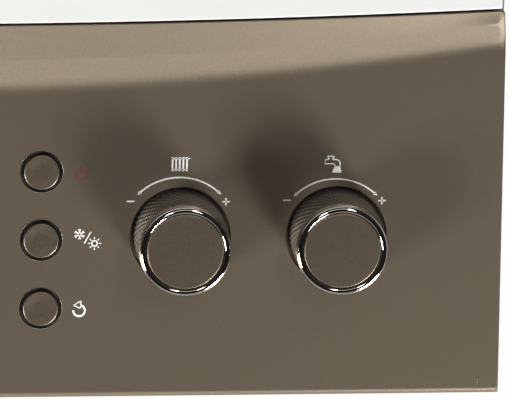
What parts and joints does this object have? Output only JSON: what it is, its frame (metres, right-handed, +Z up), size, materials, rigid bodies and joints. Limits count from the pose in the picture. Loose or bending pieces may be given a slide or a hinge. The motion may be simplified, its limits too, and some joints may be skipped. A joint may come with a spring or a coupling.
{
  "type": "wall-mounted gas boiler",
  "caption": "Wall-hung gas combination boiler with a tilting taupe control panel, turning selectors, push buttons and a gauge, over a fan-flued burner chamber and water fittings.",
  "frame": {"origin": "centre of the wall bracket's rear face, on the wall", "axes": "+Z up, +Y into the wall, so the front faces -Y, +X to the right as seen from the front"},
  "size_m": [0.44, 0.354, 0.783],
  "materials": {
    "white_enamel": "smooth satin white enamel",
    "taupe_panel": "satin metallic taupe paint on moulded plastic",
    "dark_taupe": "knurled skirt, satin metallic dark taupe",
    "chrome": "polished plating",
    "zinc_steel": "galvanised sheet steel with fine spangle",
    "aluminised_steel": "dull aluminised sheet",
    "stainless": "pressed stainless steel",
    "cast_aluminium": "as-cast, fine grain",
    "copper": "drawn copper, slightly dulled",
    "brass": "hot-pressed brass",
    "cast_iron": "dark painted casting",
    "motor_paint": "grey stove paint",
    "black_plastic": "fine moulded grain",
    "blue_plastic": "moulded knob",
    "red_paint": "stove paint",
    "dial_white": "printed dial",
    "smoked_lens": "smoked clear plastic",
    "clear_glass": "clear",
    "ceramic": "glazed insulator",
    "circuit_board": "solder-masked board"
  },
  "bodies": {
    "casing": {"wall_bracket": "zinc_steel", "back_frame": "zinc_steel", "left_side_panel": "white_enamel", "right_side_panel": "white_enamel", "top_plate": "white_enamel", "front_cover": "white_enamel", "pipe_rail": "zinc_steel", "left_hinge_bracket": "zinc_steel", "right_hinge_bracket": "zinc_steel", "sealed_chamber": "zinc_steel", "chamber_cover": "zinc_steel", "burner": "stainless", "gas_manifold": "cast_aluminium", "combustion_chamber": "aluminised_steel", "heat_exchanger": "copper", "flue_hood": "aluminised_steel", "fan_housing": "cast_aluminium", "fan_motor": "black_plastic", "flue_collar": "cast_aluminium", "ignition_electrode": "ceramic", "expansion_vessel": "red_paint", "gas_valve": "cast_aluminium", "gas_inlet_pipe": "copper", "gas_burner_pipe": "copper", "diverter_valve": "brass", "diverter_motor": "black_plastic", "flow_pipe": "copper", "pump_body": "cast_iron", "pump_motor": "motor_paint", "return_pipe": "copper", "plate_heat_exchanger": "stainless", "hot_water_pipe": "brass", "cold_water_pipe": "brass", "safety_valve": "brass", "filling_tap": "brass"},
    "control_panel": {"control_fascia": "taupe_panel", "control_board": "circuit_board", "display_lens": "smoked_lens", "display_module": "black_plastic", "heating_selector": "black_plastic", "water_selector": "black_plastic", "gauge_case": "black_plastic", "gauge_dial": "dial_white", "gauge_lens": "clear_glass", "control_box": "black_plastic"},
    "heating_dial": {"heating_knob": "dark_taupe", "heating_knob_ring": "chrome", "heating_knob_disc": "taupe_panel", "heating_selector_shaft": "stainless"},
    "water_dial": {"water_knob": "dark_taupe", "water_knob_ring": "chrome", "water_knob_disc": "taupe_panel", "water_selector_shaft": "stainless"},
    "on_off_key": {"on_off_button": "taupe_panel"},
    "season_key": {"season_button": "taupe_panel"},
    "reset_key": {"reset_button": "taupe_panel"},
    "needle": {"gauge_needle": "red_paint"},
    "impeller": {"fan_impeller": "stainless"},
    "safety_cap": {"safety_valve_cap": "red_paint"},
    "filling_handle": {"filling_knob": "blue_plastic"}
  },
  "joints": [
    {"name": "panel_tilt", "type": "hinge", "parent": "casing", "child": "control_panel", "pos_m": [0, -0.247, -0.6895], "axis": [1, 0, 0], "range_deg": [0, 75]},
    {"name": "heating_turn", "type": "hinge", "parent": "control_panel", "child": "heating_dial", "pos_m": [0.09746, -0.33, -0.6368], "axis": [0, 1, 0], "range_deg": [-135, 135]},
    {"name": "water_turn", "type": "hinge", "parent": "control_panel", "child": "water_dial", "pos_m": [0.15686, -0.33, -0.6368], "axis": [0, 1, 0], "range_deg": [-135, 135]},
    {"name": "on_off_press", "type": "slide", "parent": "control_panel", "child": "on_off_key", "axis": [0, 1, 0], "range_m": [0, 0.0012], "stiffness_N_per_m": 1200, "springref_m": -0.0005},
    {"name": "season_press", "type": "slide", "parent": "control_panel", "child": "season_key", "axis": [0, 1, 0], "range_m": [0, 0.0012], "stiffness_N_per_m": 1200, "springref_m": -0.0005},
    {"name": "reset_press", "type": "slide", "parent": "control_panel", "child": "reset_key", "axis": [0, 1, 0], "range_m": [0, 0.0012], "stiffness_N_per_m": 1200, "springref_m": -0.0005},
    {"name": "needle_swing", "type": "hinge", "parent": "control_panel", "child": "needle", "pos_m": [-0.14, -0.3165, -0.6368], "axis": [0, 1, 0], "range_deg": [0, 270], "stiffness_Nm_per_rad": 0.001},
    {"name": "impeller_spin", "type": "hinge", "parent": "casing", "child": "impeller", "pos_m": [-0.022, -0.178, -0.0708], "axis": [0, 1, 0], "continuous": true},
    {"name": "safety_cap_turn", "type": "hinge", "parent": "casing", "child": "safety_cap", "pos_m": [0.13, -0.17, -0.618], "axis": [0, 1, 0], "range_deg": [0, 90]},
    {"name": "filling_turn", "type": "hinge", "parent": "casing", "child": "filling_handle", "pos_m": [0.0975, -0.105, -0.7], "axis": [0, 0, -1], "range_deg": [0, 270]}
  ]
}
